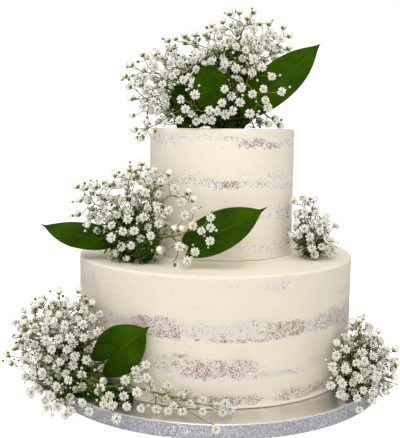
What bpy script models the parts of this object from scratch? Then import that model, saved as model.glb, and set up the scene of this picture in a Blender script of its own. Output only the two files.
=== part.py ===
"""A two-tier semi-naked wedding cake on a foil drum, dressed with five bunches of baby's breath.

Metres, +Z up. The origin is the centre of the drum's underside, and the cake is seen from -Y.
"""

import math

import bmesh
import bpy
from mathutils import Matrix, Vector, noise

# Drum: a stiff board wrapped in foil, with a band of glitter foil round its edge.
DRUM_RADIUS = 0.1524
DRUM_HEIGHT = 0.012
DRUM_SEGMENTS = 48
BAND_THICKNESS = 0.0006
BAND_LIFT = 0.0004
BAND_PROUD = 0.0002

# Tiers: sponge layers and cream fillings, scraped flush at the side.
LOWER_RADIUS = 0.124
UPPER_RADIUS = 0.066
UPPER_CENTRE = Vector((0.005, 0.008))
LOWER_SEGMENTS = 40
UPPER_SEGMENTS = 32
RIM_RADIUS = 0.003
RIM_STEPS = 3
LOWER_LAYERS = (0.0087, 0.014, 0.019, 0.011, 0.016, 0.013, 0.017, 0.006)
UPPER_LAYERS = (0.0187, 0.012, 0.013, 0.015, 0.012, 0.022, 0.011, 0.008)
WAVE_HEIGHT = 0.0012

GAP = 0.0003
CLEARANCE = 0.0005
LEAF_CLEARANCE = 0.001

# Leaves: broad lemon leaves with a drip tip.
LEAF_THICKNESS = 0.0008
LEAF_ROWS = 9
TIP_FULLNESS = 2.2
TIP_SHARPNESS = 0.5
LEAF_COLUMNS = (-1.0, -0.5, 0.0, 0.5, 1.0)

# Bunches: blossoms, spaced at their pitch, stand out of a bunch's rounded outline by the relief.
BLOSSOM_RELIEF = 0.005
BLOSSOM_PITCH = 0.014
LEAST_REACH = 0.012

# The trailing spray: a roll of blossom along the drum's ledge, thickest in its middle.
SPRAY_START = math.radians(-42)
SPRAY_END = math.radians(5)
SPRAY_FROM_AXIS = 0.139
SPRAY_HEIGHT = 0.021
SPRAY_RISE = 0.007
SPRAY_THICKNESS = 0.009
SPRAY_SWELL = 0.006
SPRAY_UNEVENNESS = 0.15
SPRAY_SIDES = 10
SPRAY_RINGS = 12


def clear_scene():
    for old in list(bpy.data.objects):
        bpy.data.objects.remove(old, do_unlink=True)


def material(name, colour, roughness, metallic=0.0):
    made = bpy.data.materials.new(name)
    made.use_nodes = True
    shader = made.node_tree.nodes["Principled BSDF"]
    shader.inputs["Base Color"].default_value = (*colour, 1.0)
    shader.inputs["Roughness"].default_value = roughness
    shader.inputs["Metallic"].default_value = metallic
    made.diffuse_color = (*colour, 1.0)
    return made


def add_object(name, bm, finish):
    bmesh.ops.recalc_face_normals(bm, faces=bm.faces[:])
    mesh = bpy.data.meshes.new(name)
    bm.to_mesh(mesh)
    bm.free()
    mesh.shade_smooth()
    mesh.set_sharp_from_angle(angle=math.radians(40))
    mesh.materials.append(finish)
    made = bpy.data.objects.new(name, mesh)
    bpy.context.scene.collection.objects.link(made)
    return made


def ring(bm, centre, radius, segments, height_at):
    """A closed ring of vertices; height_at gives the height at an angle."""
    angles = [2 * math.pi * i / segments for i in range(segments)]
    return [
        bm.verts.new(
            (centre.x + radius * math.cos(a), centre.y + radius * math.sin(a), height_at(a))
        )
        for a in angles
    ]


def join_rings(bm, lower, upper):
    count = len(lower)
    for i in range(count):
        after = (i + 1) % count
        bm.faces.new((lower[i], lower[after], upper[after], upper[i]))


def close_ring(bm, edge, point):
    middle = bm.verts.new(point)
    count = len(edge)
    for i in range(count):
        bm.faces.new((edge[i], edge[(i + 1) % count], middle))


# The drum


def drum(finish):
    bm = bmesh.new()
    bmesh.ops.create_cone(
        bm,
        cap_ends=True,
        segments=DRUM_SEGMENTS,
        radius1=DRUM_RADIUS,
        radius2=DRUM_RADIUS,
        depth=DRUM_HEIGHT,
        matrix=Matrix.Translation((0, 0, DRUM_HEIGHT / 2)),
    )
    return add_object("cake_drum", bm, finish)


def drum_edge_band(finish):
    """A thin hoop round the drum's edge, a hair clear of the floor and proud of the top."""
    inner = DRUM_RADIUS + GAP
    outer = inner + BAND_THICKNESS
    low = BAND_LIFT
    high = DRUM_HEIGHT + BAND_PROUD
    bm = bmesh.new()
    centre = Vector((0, 0))
    profile = ((inner, low), (outer, low), (outer, high), (inner, high))
    rings = [ring(bm, centre, radius, DRUM_SEGMENTS, lambda a, z=z: z) for radius, z in profile]
    for i in range(len(rings)):
        join_rings(bm, rings[i], rings[(i + 1) % len(rings)])
    return add_object("drum_edge_band", bm, finish)


# The tiers


def interface(number, last):
    """The gentle wave of the join between two layers, flat at the tier's foot and top."""
    if number in (0, last):
        return lambda angle: 0.0
    lobes = 2 + number % 3
    return lambda angle: WAVE_HEIGHT * math.sin(lobes * angle + 1.9 * number)


def layer(name, centre, radius, segments, low, high, low_wave, high_wave, rim, finish):
    """One full-width layer; rim rounds its upper edge."""
    bm = bmesh.new()
    rings = [ring(bm, centre, radius, segments, lambda a: low + low_wave(a))]
    for step in range(RIM_STEPS + 1 if rim else 1):
        turn = math.pi / 2 * step / RIM_STEPS
        inset = rim * (1 - math.cos(turn))
        drop = rim * (1 - math.sin(turn))
        rings.append(
            ring(bm, centre, radius - inset, segments, lambda a, d=drop: high - d + high_wave(a))
        )
    for below, above in zip(rings, rings[1:]):
        join_rings(bm, below, above)
    close_ring(bm, rings[0], (centre.x, centre.y, low))
    close_ring(bm, rings[-1], (centre.x, centre.y, high))
    return add_object(name, bm, finish)


def tier(name, centre, radius, segments, foot, thicknesses, finishes):
    """Stacks sponge and cream in turn from the foot up, and returns the height of the top."""
    low = foot
    last = len(thicknesses)
    for number, thickness in enumerate(thicknesses):
        kind = ("sponge", "cream")[number % 2]
        top_of_tier = number == last - 1
        layer(
            f"{name}_{kind}_{number // 2 + 1}",
            centre,
            radius,
            segments,
            low + GAP,
            low + thickness,
            interface(number, last),
            interface(number + 1, last),
            RIM_RADIUS if top_of_tier else 0.0,
            finishes[kind],
        )
        low += thickness
    return low


# Leaves


def leaf_half_width(t, widest):
    """Half the blade's width as a share of its greatest, from base (0) to tip (1)."""
    if t < widest:
        return math.sqrt(max(0.0, 1 - (1 - t / widest) ** 2))
    u = (t - widest) / (1 - widest)
    return max(0.0, 1 - u**TIP_FULLNESS) ** (1 + TIP_SHARPNESS * u**3)


def leaf_mesh(length, width, widest, arch, fold, heart, sweep):
    """A blade along +Y with its face to +Z. Arch bends it back towards the tip, fold lifts its
    halves, heart draws the base's two lobes back past the stalk, and sweep turns the tip aside."""
    bm = bmesh.new()
    rows = []
    stalk = 0.03
    for i in range(LEAF_ROWS):
        t = stalk + (1 - stalk) * i / LEAF_ROWS
        row = []
        for s in LEAF_COLUMNS:
            x = s * width / 2 * leaf_half_width(t, widest)
            back = heart * abs(s) ** 1.5 * (1 - t) ** 3
            z = fold * abs(x) - arch * length * t * t
            row.append(bm.verts.new((x + sweep * length * t**4, length * t - back, z)))
        rows.append(row)
    tip = bm.verts.new((sweep * length, length, -arch * length))
    for near, far in zip(rows, rows[1:]):
        for j in range(len(LEAF_COLUMNS) - 1):
            bm.faces.new((near[j], near[j + 1], far[j + 1], far[j]))
    for j in range(len(LEAF_COLUMNS) - 1):
        bm.faces.new((rows[-1][j], rows[-1][j + 1], tip))
    return bm


def leaf_place(base, tip, face):
    """The matrix that runs a blade from base to tip with its face towards a direction."""
    along = (tip - base).normalized()
    out = (face - face.dot(along) * along).normalized()
    across = along.cross(out)
    turn = Matrix((across, along, out)).transposed().to_4x4()
    return Matrix.Translation(base) @ turn


def leaf(
    name, finish, base, tip, face, width, widest=0.42, arch=0.05, fold=0.15, heart=0.004, sweep=0.0
):
    """Makes the blade, and returns a slightly larger cutter that keeps a bunch clear of it."""
    base, tip, face = Vector(base), Vector(tip), Vector(face)
    length = (tip - base).length
    place = leaf_place(base, tip, face)
    made = []
    for part_name, spare in ((name, 0.0), (name + "_room", LEAF_CLEARANCE)):
        bm = leaf_mesh(length + 2 * spare, width + 2 * spare, widest, arch, fold, heart, sweep)
        blade = add_object(part_name, bm, finish)
        blade.matrix_world = place @ Matrix.Translation((0, -spare, 0))
        skin = blade.modifiers.new("thickness", "SOLIDIFY")
        skin.thickness = LEAF_THICKNESS + spare
        skin.offset = 0.0
        made.append(blade)
    hide_cutter(made[1])
    return made[1]


# Bunches of baby's breath


def hide_cutter(cutter):
    cutter.hide_render = True
    cutter.display_type = "WIRE"


def cylinder_room(name, centre, radius, low, high):
    """A cutter for the space that a tier or the drum takes, with clearance round it."""
    bm = bmesh.new()
    bmesh.ops.create_cone(
        bm,
        cap_ends=True,
        segments=DRUM_SEGMENTS,
        radius1=radius,
        radius2=radius,
        depth=high - low,
        matrix=Matrix.Translation((centre.x, centre.y, (low + high) / 2)),
    )
    made = add_object(name, bm, None)
    hide_cutter(made)
    return made


def reach(heart, direction, lobes):
    """How far the outline lies from the heart along a direction: the outermost lobe's skin."""
    farthest = LEAST_REACH
    for x, y, z, radius in lobes:
        to_lobe = Vector((x, y, z)) - heart
        along = to_lobe.dot(direction)
        inside = along * along - to_lobe.length_squared + radius * radius
        if inside > 0:
            farthest = max(farthest, along + math.sqrt(inside))
    return farthest


def bunch(name, heart, lobes, detail, keep_clear, finish):
    """A solid out to the bunch's uneven outline, cut clear of what it leans on."""
    heart = Vector(heart)
    bm = bmesh.new()
    bmesh.ops.create_icosphere(bm, subdivisions=detail, radius=1.0)
    for vert in bm.verts:
        direction = vert.co.normalized()
        outline = direction * reach(heart, direction, lobes)
        lump = BLOSSOM_RELIEF * noise.noise((heart + outline) / BLOSSOM_PITCH)
        vert.co = heart + outline + direction * lump
    made = add_object(name, bm, finish)
    for room in keep_clear:
        cut(made, room)
    return made


def cut(target, other, operation="DIFFERENCE"):
    change = target.modifiers.new(other.name, "BOOLEAN")
    change.operation = operation
    change.solver = "EXACT"
    change.object = other


def trailing_spray():
    """A lumpy roll that lies along the ledge; the foot bunch is joined to it."""
    bm = bmesh.new()
    rings = []
    for i in range(SPRAY_RINGS + 1):
        t = i / SPRAY_RINGS
        swell = math.sin(math.pi * t)
        angle = SPRAY_START + (SPRAY_END - SPRAY_START) * t
        out = Vector((math.sin(angle), -math.cos(angle), 0))
        up = Vector((0, 0, 1))
        middle = out * SPRAY_FROM_AXIS + up * (SPRAY_HEIGHT + SPRAY_RISE * swell)
        thickness = SPRAY_THICKNESS + SPRAY_SWELL * swell
        thickness *= 1 + SPRAY_UNEVENNESS * math.sin(7.5 * math.pi * t)
        ring_here = []
        for k in range(SPRAY_SIDES):
            a = 2 * math.pi * k / SPRAY_SIDES
            lump = 1 + SPRAY_UNEVENNESS * math.sin(3 * a + 9 * t)
            side = out * math.cos(a) + up * math.sin(a)
            ring_here.append(bm.verts.new(middle + side * thickness * lump))
        rings.append(ring_here)
    for near, far in zip(rings, rings[1:]):
        join_rings(bm, near, far)
    for end in (rings[0], rings[-1]):
        centre = sum((v.co for v in end), Vector()) / SPRAY_SIDES
        close_ring(bm, end, centre)
    made = add_object("trailing_spray", bm, None)
    hide_cutter(made)
    return made


clear_scene()

foil = material("silver_foil", (0.62, 0.60, 0.57), 0.35, 0.9)
glitter = material("glitter_foil", (0.50, 0.53, 0.58), 0.4, 0.8)
sponge = material("vanilla_sponge", (0.66, 0.57, 0.50), 0.9)
cream = material("buttercream", (0.87, 0.80, 0.66), 0.6)
leaf_green = material("leaf_green", (0.04, 0.12, 0.01), 0.45)
blossom = material("blossom_and_stems", (0.72, 0.74, 0.62), 0.8)

drum(foil)
drum_edge_band(glitter)

finishes = {"sponge": sponge, "cream": cream}
axis = Vector((0, 0))
lower_top = tier(
    "lower", axis, LOWER_RADIUS, LOWER_SEGMENTS, DRUM_HEIGHT, LOWER_LAYERS, finishes
)
upper_top = tier(
    "upper", UPPER_CENTRE, UPPER_RADIUS, UPPER_SEGMENTS, lower_top, UPPER_LAYERS, finishes
)

drum_room = cylinder_room(
    "drum_room", axis, DRUM_RADIUS + GAP + BAND_THICKNESS + CLEARANCE, -0.01,
    DRUM_HEIGHT + BAND_PROUD + CLEARANCE,
)
lower_room = cylinder_room(
    "lower_room", axis, LOWER_RADIUS + CLEARANCE, 0.0, lower_top + CLEARANCE
)
upper_room = cylinder_room(
    "upper_room", UPPER_CENTRE, UPPER_RADIUS + CLEARANCE, 0.0, upper_top + CLEARANCE
)

# Each leaf runs from its base to its tip with its face turned as given.
top_right_room = leaf(
    "leaf_top_right",
    leaf_green,
    base=(0.019, -0.040, 0.242),
    tip=(0.090, -0.034, 0.300),
    face=(0.25, -1.0, 0.25),
    width=0.033,
    sweep=-0.03,
)
top_centre_room = leaf(
    "leaf_top_centre",
    leaf_green,
    base=(0.005, -0.050, 0.243),
    tip=(-0.013, -0.064, 0.281),
    face=(0.1, -1.0, -0.1),
    width=0.034,
    arch=-0.05,
    fold=0.12,
)
top_left_room = leaf(
    "leaf_top_left",
    leaf_green,
    base=(-0.002, -0.041, 0.239),
    tip=(-0.038, -0.047, 0.264),
    face=(-0.2, -1.0, -0.2),
    width=0.028,
    fold=0.12,
    heart=0.002,
)
shelf_left_room = leaf(
    "leaf_shelf_left",
    leaf_green,
    base=(-0.084, -0.056, 0.133),
    tip=(-0.152, -0.048, 0.1375),
    face=(0.0, -0.75, 0.65),
    width=0.027,
    arch=-0.06,
    fold=0.12,
    heart=0.003,
    sweep=0.10,
)
shelf_right_room = leaf(
    "leaf_shelf_right",
    leaf_green,
    base=(-0.023, -0.088, 0.133),
    tip=(0.0415, -0.094, 0.1655),
    face=(0.1, -1.0, 0.2),
    width=0.034,
    arch=0.04,
    heart=0.005,
    sweep=-0.04,
)
foot_left_room = leaf(
    "leaf_foot_left",
    leaf_green,
    base=(-0.088, -0.116, 0.043),
    tip=(-0.050, -0.122, 0.075),
    face=(-0.35, -1.0, 0.10),
    width=0.040,
    widest=0.24,
    arch=0.04,
    fold=0.10,
    heart=0.016,
)

# Each bunch: the heart that its stems spread from, then round lobes as x, y, z, radius.
bunch(
    "bunch_top",
    (0.0, -0.005, 0.262),
    (
        (-0.047, -0.005, 0.268, 0.031),
        (-0.022, 0.002, 0.280, 0.031),
        (0.024, 0.000, 0.297, 0.031),
        (0.042, -0.005, 0.284, 0.024),
        (0.000, -0.014, 0.262, 0.034),
        (0.030, -0.010, 0.252, 0.028),
        (-0.046, -0.018, 0.244, 0.022),
        (0.000, 0.026, 0.268, 0.036),
    ),
    4,
    (upper_room, top_right_room, top_centre_room, top_left_room),
    blossom,
)
bunch(
    "bunch_shelf_left",
    (-0.062, -0.055, 0.150),
    (
        (-0.086, -0.045, 0.157, 0.029),
        (-0.062, -0.045, 0.170, 0.027),
        (-0.036, -0.065, 0.148, 0.028),
        (-0.070, -0.060, 0.140, 0.025),
        (-0.034, -0.080, 0.134, 0.018),
    ),
    4,
    (lower_room, upper_room, shelf_left_room, shelf_right_room),
    blossom,
)
bunch(
    "bunch_shelf_right",
    (0.084, -0.034, 0.138),
    (
        (0.085, -0.035, 0.142, 0.020),
        (0.078, -0.032, 0.161, 0.013),
        (0.088, -0.038, 0.134, 0.018),
    ),
    3,
    (lower_room, upper_room),
    blossom,
)
bunch(
    "bunch_foot_right",
    (0.122, -0.070, 0.036),
    (
        (0.122, -0.062, 0.042, 0.027),
        (0.116, -0.088, 0.028, 0.022),
        (0.137, -0.056, 0.027, 0.022),
        (0.112, -0.072, 0.040, 0.020),
    ),
    3,
    (lower_room, drum_room),
    blossom,
)
spray = trailing_spray()
foot_left = bunch(
    "bunch_foot_left",
    (-0.118, -0.086, 0.044),
    (
        (-0.136, -0.072, 0.054, 0.033),
        (-0.114, -0.085, 0.058, 0.032),
        (-0.108, -0.091, 0.037, 0.023),
        (-0.133, -0.088, 0.030, 0.026),
        (-0.121, -0.103, 0.022, 0.019),
        (-0.162, -0.064, 0.042, 0.013),
    ),
    4,
    (),
    blossom,
)
cut(foot_left, spray, "UNION")
for room in (lower_room, drum_room, foot_left_room):
    cut(foot_left, room)
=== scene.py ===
import math
import random

import bpy
import numpy as np
from mathutils import Matrix, Vector, noise
from mathutils.bvhtree import BVHTree


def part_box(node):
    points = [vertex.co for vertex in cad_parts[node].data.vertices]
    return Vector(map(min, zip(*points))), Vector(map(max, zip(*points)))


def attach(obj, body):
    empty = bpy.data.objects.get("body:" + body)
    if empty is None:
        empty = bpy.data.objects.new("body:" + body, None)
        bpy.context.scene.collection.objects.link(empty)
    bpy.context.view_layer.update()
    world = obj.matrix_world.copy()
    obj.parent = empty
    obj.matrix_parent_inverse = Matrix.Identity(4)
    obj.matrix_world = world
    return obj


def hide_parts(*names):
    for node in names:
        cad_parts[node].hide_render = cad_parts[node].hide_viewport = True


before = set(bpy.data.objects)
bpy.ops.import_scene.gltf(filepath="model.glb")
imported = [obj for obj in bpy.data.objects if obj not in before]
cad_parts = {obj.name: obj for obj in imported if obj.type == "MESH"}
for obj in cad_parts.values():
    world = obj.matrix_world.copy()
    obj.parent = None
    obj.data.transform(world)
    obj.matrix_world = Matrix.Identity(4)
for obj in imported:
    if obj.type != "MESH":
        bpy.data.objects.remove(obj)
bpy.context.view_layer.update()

# ---------------------------------------------------------------- cake drum
# The drum is 12 mm of stiff fibreboard under smooth silver foil. The foil is
# rolled on and pressed round the edge, so its top has only faint, wide waves.

MM = 0.001
DRUM_STEPS = 240
DRUM_LIP = 0.8 * MM
ROLLING_SCALE = (60, 900, 60)
drum_low, drum_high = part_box("cake_drum")
drum_radius = (drum_high.x - drum_low.x) / 2
drum_top = drum_high.z


def linear(hex_colour):
    """An sRGB colour such as #c8c4bd as linear red, green, blue and alpha."""
    parts = [int(hex_colour[i:i + 2], 16) / 255 for i in (1, 3, 5)]
    return [p / 12.92 if p <= 0.04045 else ((p + 0.055) / 1.055) ** 2.4 for p in parts] + [1.0]


def add(tree, kind, inputs=None, **settings):
    """Adds a node with its settings; inputs maps a socket to a value or to another node's output."""
    node = tree.nodes.new(kind)
    for setting, value in settings.items():
        setattr(node, setting, value)
    for socket, value in (inputs or {}).items():
        if isinstance(value, bpy.types.NodeSocket):
            tree.links.new(value, node.inputs[socket])
        else:
            node.inputs[socket].default_value = value
    return node


def finish_material(name, **constants):
    """An empty material with its Principled shader, whose constant sockets are set."""
    material = bpy.data.materials.new(name)
    material.use_nodes = True
    tree = material.node_tree
    tree.nodes.clear()
    shader = add(tree, "ShaderNodeBsdfPrincipled")
    for socket, value in constants.items():
        shader.inputs[socket.replace("_", " ")].default_value = value
    add(tree, "ShaderNodeOutputMaterial", {"Surface": shader.outputs[0]})
    return material, tree, shader


def blend(tree, share, first, second):
    """A colour between two, which are each a hex string or another node's output."""
    ends = [linear(colour) if isinstance(colour, str) else colour for colour in (first, second)]
    return add(tree, "ShaderNodeMix", {0: share, 6: ends[0], 7: ends[1]}, data_type="RGBA").outputs[2]


def mottle(tree, where, size, detail, **inputs):
    """Cloudy noise with patches of the given size in metres."""
    inputs.update(Vector=where, Scale=1 / size, Detail=detail)
    return add(tree, "ShaderNodeTexNoise", inputs).outputs[0]


def remap(tree, value, low, high, to_low=0.0, to_high=1.0, **settings):
    """A value's range, low to high, stretched and clamped to another range."""
    ends = {"From Min": low, "From Max": high, "To Min": to_low, "To Max": to_high}
    return add(tree, "ShaderNodeMapRange", {"Value": value, **ends}, **settings).outputs[0]


def maths(tree, operation, *values):
    """A sum on up to three values or other nodes' outputs."""
    return add(tree, "ShaderNodeMath", dict(enumerate(values)), operation=operation).outputs[0]


def marked(tree, label):
    """The value that a mesh carries at each point under a label."""
    return add(tree, "ShaderNodeAttribute", attribute_name=label).outputs["Fac"]


def raised(tree, height, strength, depth):
    """A bump that follows a height pattern, at most depth metres deep."""
    sockets = {"Height": height, "Strength": strength, "Distance": depth}
    return add(tree, "ShaderNodeBump", sockets).outputs[0]


def feed(tree, shader, **sources):
    """Links other nodes' outputs to the shader's sockets."""
    for socket, source in sources.items():
        tree.links.new(source, shader.inputs[socket.replace("_", " ")])


def two_tone(name, size, detail, first, second, **constants):
    """A material that drifts between two colours, in patches of the given size."""
    material, tree, shader = finish_material(name, **constants)
    place = add(tree, "ShaderNodeTexCoord").outputs["Object"]
    tone = blend(tree, mottle(tree, place, size, detail), first, second)
    feed(tree, shader, Base_Color=tone)
    return material, tree, shader


def solid_mesh(name, points, faces, materials, marks=None):
    """A smooth-shaded object from points and faces; marks are the faces' material numbers."""
    mesh = bpy.data.meshes.new(name)
    mesh.from_pydata([tuple(p) for p in points], [], [tuple(int(i) for i in f) for f in faces])
    for material in materials:
        mesh.materials.append(material)
    if marks is not None:
        mesh.polygons.foreach_set("material_index", np.array(marks, np.int32))
    mesh.shade_smooth()
    piece = bpy.data.objects.new(name, mesh)
    bpy.context.scene.collection.objects.link(piece)
    return piece


def ring_faces(rows, steps, first=0):
    """Quads between rows of steps points each, closed round the axis."""
    faces = []
    for row in range(rows - 1):
        for i in range(steps):
            a, b = first + row * steps + i, first + row * steps + (i + 1) % steps
            faces.append((a, b, b + steps, a + steps))
    return faces


def ring_points(rows, steps, ripple=0.0):
    """Rings of points round Z from (radius, height) rows; ripple draws every second one in."""
    points = []
    for radius, height in rows:
        for i in range(steps):
            angle = math.tau * i / steps
            pull = radius * (1 - ripple * (i % 2))
            points.append((pull * math.cos(angle), pull * math.sin(angle), height))
    return points


def lathe(rows, steps, ripple=0.0):
    """Points and faces of a closed solid of revolution from (radius, height) rows."""
    points = [(0, 0, rows[0][1])] + ring_points(rows, steps, ripple) + [(0, 0, rows[-1][1])]
    last = len(points) - 1
    faces = ring_faces(len(rows), steps, 1)
    faces += [(0, 1 + (i + 1) % steps, 1 + i) for i in range(steps)]
    faces += [(last, last - steps + i, last - steps + (i + 1) % steps) for i in range(steps)]
    return np.array(points), faces


def quarter(radius, height, fillet, start, turns=5):
    """Profile points round a fillet's centre, a quarter turn on from the start angle."""
    found = []
    for i in range(turns + 1):
        angle = start + math.pi / 2 * i / turns
        found.append((radius + fillet * math.cos(angle), height + fillet * math.sin(angle)))
    return found


# Rolled aluminium foil with a satin face: blurred reflections, a little warmer
# where it mirrors the cake, and waves some 25 mm long from the board below.
silver_foil, tree, shader = finish_material("silver_foil", Metallic=1.0)
place = add(tree, "ShaderNodeTexCoord").outputs["Object"]
rolling = add(tree, "ShaderNodeMapping", {"Vector": place, "Scale": ROLLING_SCALE}).outputs[0]
grain = mottle(tree, rolling, 1.0, 3.0)
waves = mottle(tree, place, 25 * MM, 2.0)
rubbed = remap(tree, waves, 0.3, 0.7, 0.30, 0.42)
tone = blend(tree, grain, "#e6e2dc", "#f4f1ec")
height = maths(tree, "ADD", waves, grain)
bump = raised(tree, height, 0.25, 0.2 * MM)
feed(tree, shader, Base_Color=tone, Roughness=rubbed, Normal=bump)

drum_rows = quarter(drum_radius - DRUM_LIP, drum_low.z + DRUM_LIP, DRUM_LIP, -math.pi / 2)
drum_rows += quarter(drum_radius - DRUM_LIP, drum_top - DRUM_LIP, DRUM_LIP, 0)
drum_rows += [(drum_radius * share, drum_top) for share in (0.96, 0.85, 0.6, 0.3)]
drum = solid_mesh("foil_drum", *lathe(drum_rows, DRUM_STEPS), [silver_foil])
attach(drum, "root")
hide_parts("cake_drum")

# ---------------------------------------------------------------- glitter band
# A strip of glitter foil is glued round the drum's edge. Its top edge is turned over the lip, and there a
# plain foil is painted brighter than the top, a painted highlight line.

BAND_FOLD = 0.5 * MM
band_low, band_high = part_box("drum_edge_band")
band_radius = (band_high.x - band_low.x) / 2
band_inner = drum_radius - 0.4 * MM

# Glitter on foil: flakes of about 0.6 mm, each tilted its own way, so that some
# flash white and others stay blue-grey.
glitter_foil, tree, shader = finish_material("glitter_foil", Metallic=0.85, Roughness=0.38)
place = add(tree, "ShaderNodeTexCoord").outputs["Object"]
flakes = add(tree, "ShaderNodeTexVoronoi", {"Vector": place, "Scale": 1 / (0.62 * MM)})
tint = add(tree, "ShaderNodeSeparateColor", {0: flakes.outputs["Color"]})
spark = remap(tree, tint.outputs[0], 0.55, 1.0)
tone = blend(tree, spark, "#a3a2a9", "#e9e9ee")
middle = (0.5, 0.5, 0.5)
off_level = add(tree, "ShaderNodeVectorMath", {0: flakes.outputs["Color"], 1: middle}, operation="SUBTRACT")
lean = add(tree, "ShaderNodeVectorMath", {0: off_level.outputs[0], 3: 0.55}, operation="SCALE")
face = add(tree, "ShaderNodeNewGeometry").outputs["Normal"]
leaning = add(tree, "ShaderNodeVectorMath", {0: face, 1: lean.outputs[0]}, operation="ADD")
flake_face = add(tree, "ShaderNodeVectorMath", {0: leaning.outputs[0]}, operation="NORMALIZE").outputs[0]
feed(tree, shader, Base_Color=tone, Normal=flake_face)

# The turned edge: plain foil painted brighter than the top as a painted highlight line, with a crisp shine.
lip_foil_highlight, *_ = two_tone("foil_lip_painted_highlight", 6 * MM, 2.0, "#dcdde3", "#ffffff", Metallic=0.6,
                           Roughness=0.3)

band_rows = [(band_inner, band_low.z), (band_radius, band_low.z)]
band_rows += quarter(band_radius - BAND_FOLD, band_high.z - BAND_FOLD, BAND_FOLD, 0)
band_rows += [(band_inner - 0.5 * MM, band_high.z)]
band_points = ring_points(band_rows, DRUM_STEPS)
band_faces = ring_faces(len(band_rows), DRUM_STEPS)
last_row = (len(band_rows) - 1) * DRUM_STEPS
for i in range(DRUM_STEPS):
    onward = (i + 1) % DRUM_STEPS
    band_faces.append((last_row + i, last_row + onward, onward, i))
band_marks = [0 if face_number < 2 * DRUM_STEPS else 1 for face_number in range(len(band_faces))]
band = solid_mesh("glitter_band", band_points, band_faces, [glitter_foil, lip_foil_highlight], band_marks)
band.data.set_sharp_from_angle(angle=math.radians(50))
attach(band, "root")
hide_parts("drum_edge_band")

# ---------------------------------------------------------------- cake tiers
# Each tier is four rounds of vanilla sponge with buttercream between and over
# them. A scraper, pulled round the turntable, takes the coat off again where the
# sponge stands proud, which leaves thin greyish smears with crumb showing.

SIDE_PITCH = 1.4 * MM
RIM_FILLET = 2.2 * MM
HOLLOW = 0.35 * MM
ROUGH = 0.30 * MM


def grid_noise(points, size, seed):
    """Smooth noise, about -1 to 1, with lumps of the given size, at every point."""
    shift = Vector((seed * 7.31, seed * 3.17, seed * 5.73))
    return np.array([noise.noise(Vector(p) / size + shift) for p in points]) * 1.6


def smear_field(angles, heights, smears, ragged):
    """How thin the coat is, and how much crumb shows, from a list of elongated smears.

    A smear is its angle round the tier from the front in degrees, half its width
    in degrees, its height, half its height, how thin it is and how much crumb shows.
    """
    thin = np.zeros(len(angles))
    crumb = np.zeros(len(angles))
    for angle, half_width, height_at, half_height, thinness, crumbs in smears:
        round_about = np.abs((angles - angle + 180) % 360 - 180) / half_width
        up_down = np.abs(heights - height_at) / half_height
        away = (round_about ** 3 + up_down ** 3) ** (1 / 3) + ragged
        share = np.clip((1.36 - away) / 0.70, 0, 1)
        share = share * share * (3 - 2 * share)
        thin = np.maximum(thin, share * thinness)
        crumb = np.maximum(crumb, share ** 1.5 * crumbs)
    return thin, crumb


def smears_behind(layers, seed):
    """Smears round the side that the flowers leave bare, one after the other along each layer."""
    draw = random.Random(seed)
    found = []
    for low, high in layers:
        middle, half = (low + high) / 2, (high - low) / 2
        angle = 88.0
        while angle < 292:
            half_width = draw.uniform(9, 18)
            found.append((angle, half_width, middle + draw.uniform(-0.3, 0.3) * half,
                          half * draw.uniform(0.55, 1.05), draw.uniform(0.6, 1.0), draw.uniform(0.1, 0.95)))
            angle += half_width * draw.uniform(1.3, 2.3)
    return found


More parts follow.
